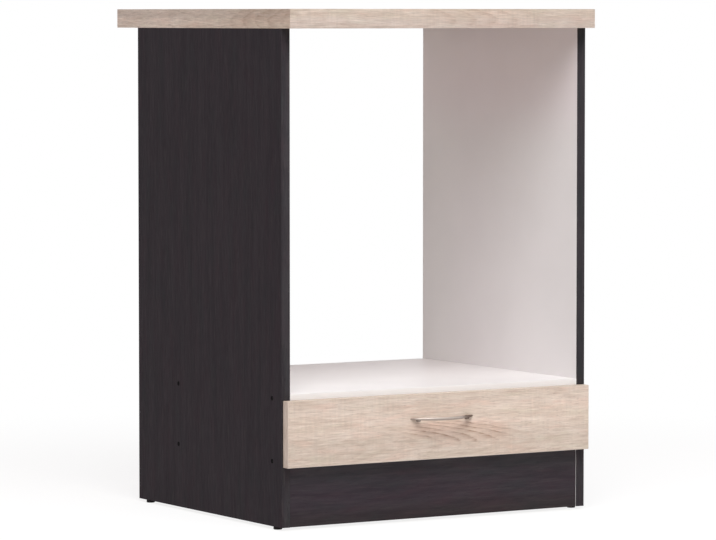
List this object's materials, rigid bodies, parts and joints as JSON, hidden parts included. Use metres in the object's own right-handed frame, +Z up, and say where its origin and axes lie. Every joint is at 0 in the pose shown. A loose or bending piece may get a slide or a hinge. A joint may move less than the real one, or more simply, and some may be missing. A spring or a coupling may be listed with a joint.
{
  "type": "oven base cabinet",
  "caption": "Kitchen base cabinet with an open niche for a built-in oven, a shallow drawer on roller runners below it, a plinth and a worktop.",
  "frame": {"origin": "on the floor, under the middle of the whole object's box", "axes": "+Z up, the front with the drawer faces -Y, +X is to the right of someone who looks at the front"},
  "size_m": [0.6, 0.613, 0.857],
  "materials": {
    "dark_laminate": "matt printed laminate on chipboard, dark brown with a fine straight grain",
    "dark_edge_band": "matt dark brown edge band",
    "white_laminate": "matt white melamine",
    "white_board": "chipboard faced with matt white melamine",
    "oak_laminate": "light oak laminate with a rough-sawn grain along the board",
    "oak_edge_band": "light oak edge band",
    "chipboard": "raw chipboard with a paper backing",
    "hardboard": "brown hardboard",
    "beech": "plain beech dowel",
    "softwood": "planed spruce",
    "zinc_steel": "bright zinc plate",
    "yellow_zinc": "yellow zinc plate",
    "satin_nickel": "satin nickel",
    "coated_steel": "white epoxy coating",
    "nylon": "natural nylon",
    "black_plastic": "moulded black plastic",
    "bumper_plastic": "clear soft plastic"
  },
  "bodies": {
    "carcass": {"side_panel_left": "dark_laminate", "side_panel_right": "dark_laminate", "side_facing_left": "white_laminate", "side_facing_right": "white_laminate", "side_edge_band_left": "dark_edge_band", "side_edge_band_right": "dark_edge_band", "oven_shelf": "white_board", "shelf_edge_band": "white_laminate", "bottom_panel": "white_board", "bottom_edge_band": "white_laminate", "plinth_board": "dark_laminate", "plinth_blocks": "softwood", "plinth_block_screws": "yellow_zinc", "back_panel": "hardboard", "back_panel_nails": "zinc_steel", "worktop_core": "chipboard", "worktop_laminate": "oak_laminate", "worktop_front_band": "oak_edge_band", "worktop_end_bands": "oak_edge_band", "worktop_dowels": "beech", "shelf_dowels": "beech", "bottom_dowels": "beech", "joint_screws_left": "zinc_steel", "joint_screws_right": "zinc_steel", "screw_caps_left": "black_plastic", "screw_caps_right": "black_plastic", "glide_front_left": "black_plastic", "glide_front_right": "black_plastic", "glide_rear_left": "black_plastic", "glide_rear_right": "black_plastic", "glide_nails": "zinc_steel", "cabinet_runner_left": "coated_steel", "cabinet_runner_right": "coated_steel", "cabinet_runner_screws": "zinc_steel", "front_roller_axles": "zinc_steel"},
    "drawer": {"drawer_front": "oak_laminate", "drawer_front_bands": "oak_edge_band", "drawer_side_left": "white_board", "drawer_side_right": "white_board", "drawer_side_bands": "white_laminate", "drawer_back": "white_board", "drawer_bottom": "white_board", "drawer_bottom_nails": "zinc_steel", "drawer_runner_left": "coated_steel", "drawer_runner_right": "coated_steel", "drawer_runner_screws": "zinc_steel", "rear_roller_axles": "zinc_steel", "cam_locks": "zinc_steel", "cam_bolts": "yellow_zinc", "drawer_dowels": "beech", "drawer_back_screws": "zinc_steel", "drawer_handle": "satin_nickel", "handle_screws": "zinc_steel", "drawer_bumpers": "bumper_plastic"},
    "front_roller_left": {"front_roller_left": "nylon"},
    "front_roller_right": {"front_roller_right": "nylon"},
    "rear_roller_left": {"rear_roller_left": "nylon"},
    "rear_roller_right": {"rear_roller_right": "nylon"}
  },
  "joints": [
    {"name": "drawer_slide", "type": "slide", "parent": "carcass", "child": "drawer", "axis": [0, -1, 0], "range_m": [0, 0.33]},
    {"name": "front_roller_left_spin", "type": "hinge", "parent": "carcass", "child": "front_roller_left", "pos_m": [-0.2782, -0.2525, 0.1362], "axis": [1, 0, 0], "continuous": true},
    {"name": "front_roller_right_spin", "type": "hinge", "parent": "carcass", "child": "front_roller_right", "pos_m": [0.2782, -0.2525, 0.1362], "axis": [1, 0, 0], "continuous": true},
    {"name": "rear_roller_left_spin", "type": "hinge", "parent": "drawer", "child": "rear_roller_left", "pos_m": [-0.2782, 0.1745, 0.13385], "axis": [1, 0, 0], "continuous": true},
    {"name": "rear_roller_right_spin", "type": "hinge", "parent": "drawer", "child": "rear_roller_right", "pos_m": [0.2782, 0.1745, 0.13385], "axis": [1, 0, 0], "continuous": true}
  ],
  "couplings": [
    {"joint": "front_roller_left_spin", "follows": "drawer_slide", "rad_per_m": 117.65},
    {"joint": "front_roller_right_spin", "follows": "drawer_slide", "rad_per_m": 117.65},
    {"joint": "rear_roller_left_spin", "follows": "drawer_slide", "rad_per_m": 117.65},
    {"joint": "rear_roller_right_spin", "follows": "drawer_slide", "rad_per_m": 117.65}
  ]
}
